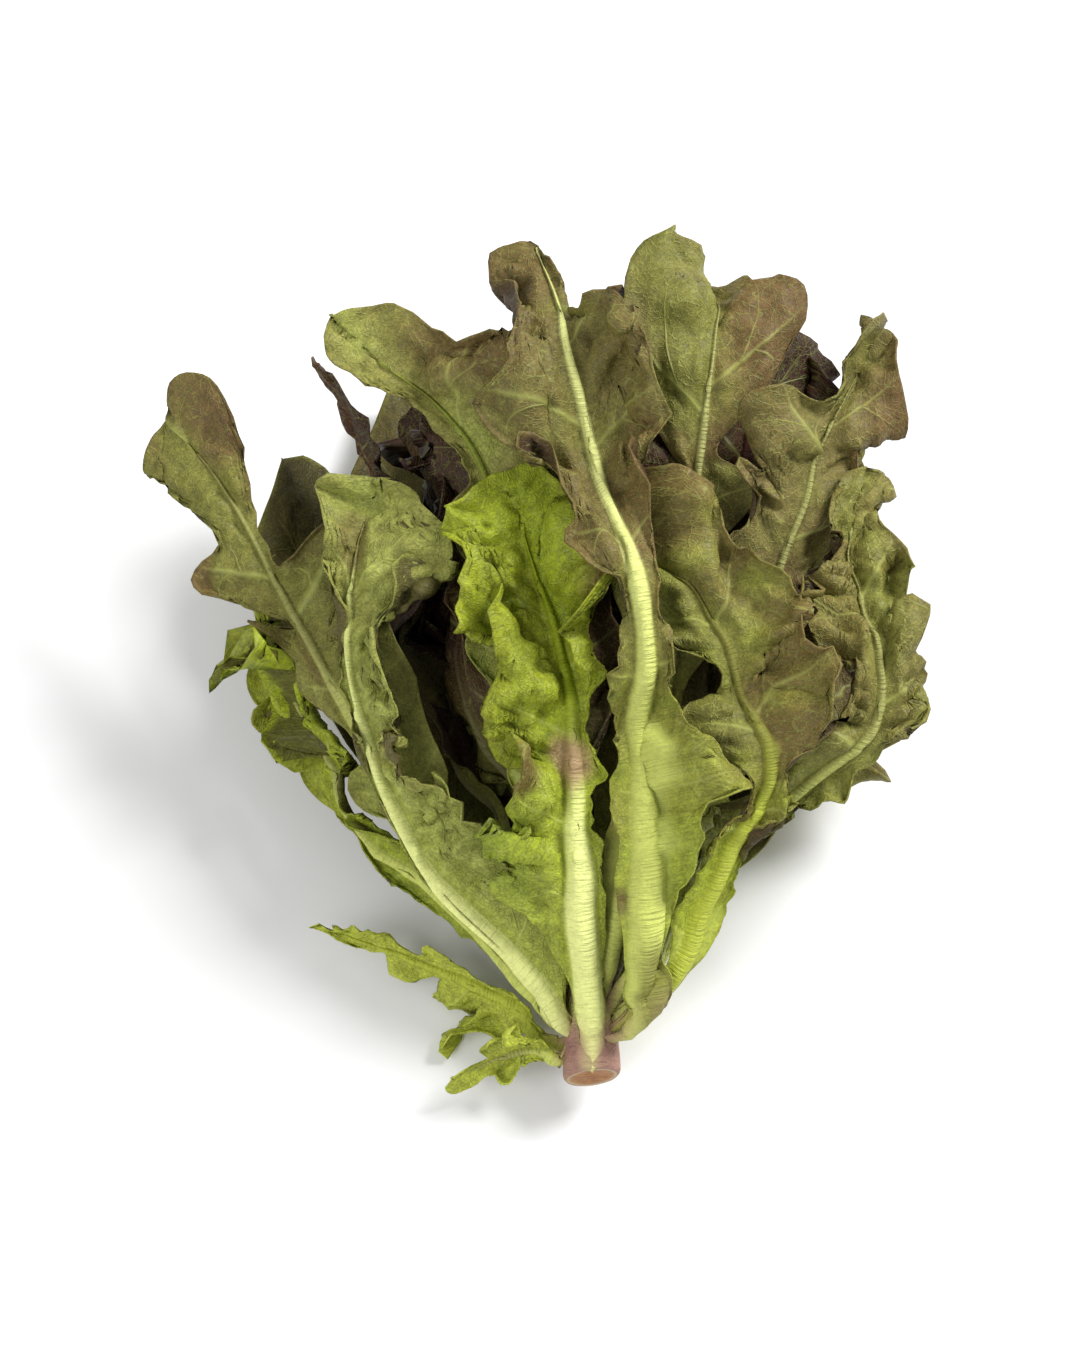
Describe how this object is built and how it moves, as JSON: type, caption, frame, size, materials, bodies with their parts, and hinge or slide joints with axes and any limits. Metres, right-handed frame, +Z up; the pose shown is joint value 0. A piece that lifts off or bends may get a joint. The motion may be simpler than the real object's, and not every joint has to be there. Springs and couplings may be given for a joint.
{
  "type": "loose-leaf lettuce head",
  "caption": "Loose-leaf lettuce head lying on its side: lobed, waved red-green leaves with thick pale ribs, set in a spiral round a short cut stem.",
  "frame": {"origin": "centre of the base of the box round the whole head, on the surface it lies on", "axes": "+Y along the head from the cut stem to the leaf tips, +Z up from the surface it lies on, +X to the right seen from the stem's end"},
  "size_m": [0.2542, 0.2654, 0.1231],
  "materials": {
    "stem": "matt plant tissue, moist at the cut",
    "leaf_young": "soft satin leaf",
    "leaf": "soft satin leaf, olive green flushed red-brown",
    "leaf_bright": "soft satin leaf, yellow-green"
  },
  "bodies": {
    "root": {"stem": "stem", "leaf_young_1": "leaf_young", "leaf_young_2": "leaf_young", "leaf_young_3": "leaf_young", "leaf_young_4": "leaf_young", "leaf_young_5": "leaf_young", "leaf_young_6": "leaf_young", "leaf_young_7": "leaf_young", "leaf_inner_01": "leaf", "leaf_inner_02": "leaf", "leaf_inner_03": "leaf", "leaf_inner_04": "leaf", "leaf_inner_05": "leaf", "leaf_inner_06": "leaf", "leaf_inner_07": "leaf", "leaf_inner_08": "leaf", "leaf_inner_09": "leaf", "leaf_inner_10": "leaf", "leaf_under_left": "leaf", "leaf_under_right": "leaf", "leaf_under_mid_left": "leaf", "leaf_under_mid_right": "leaf", "leaf_under_middle": "leaf", "leaf_upper_left": "leaf", "leaf_top": "leaf", "leaf_upper_right": "leaf", "leaf_far_left": "leaf", "leaf_right": "leaf", "leaf_folded_right": "leaf", "leaf_low_left": "leaf", "leaf_left": "leaf", "leaf_front": "leaf_bright", "leaf_tall": "leaf", "leaf_torn_left": "leaf_bright", "leaf_torn_low": "leaf_bright"}
  },
  "joints": []
}
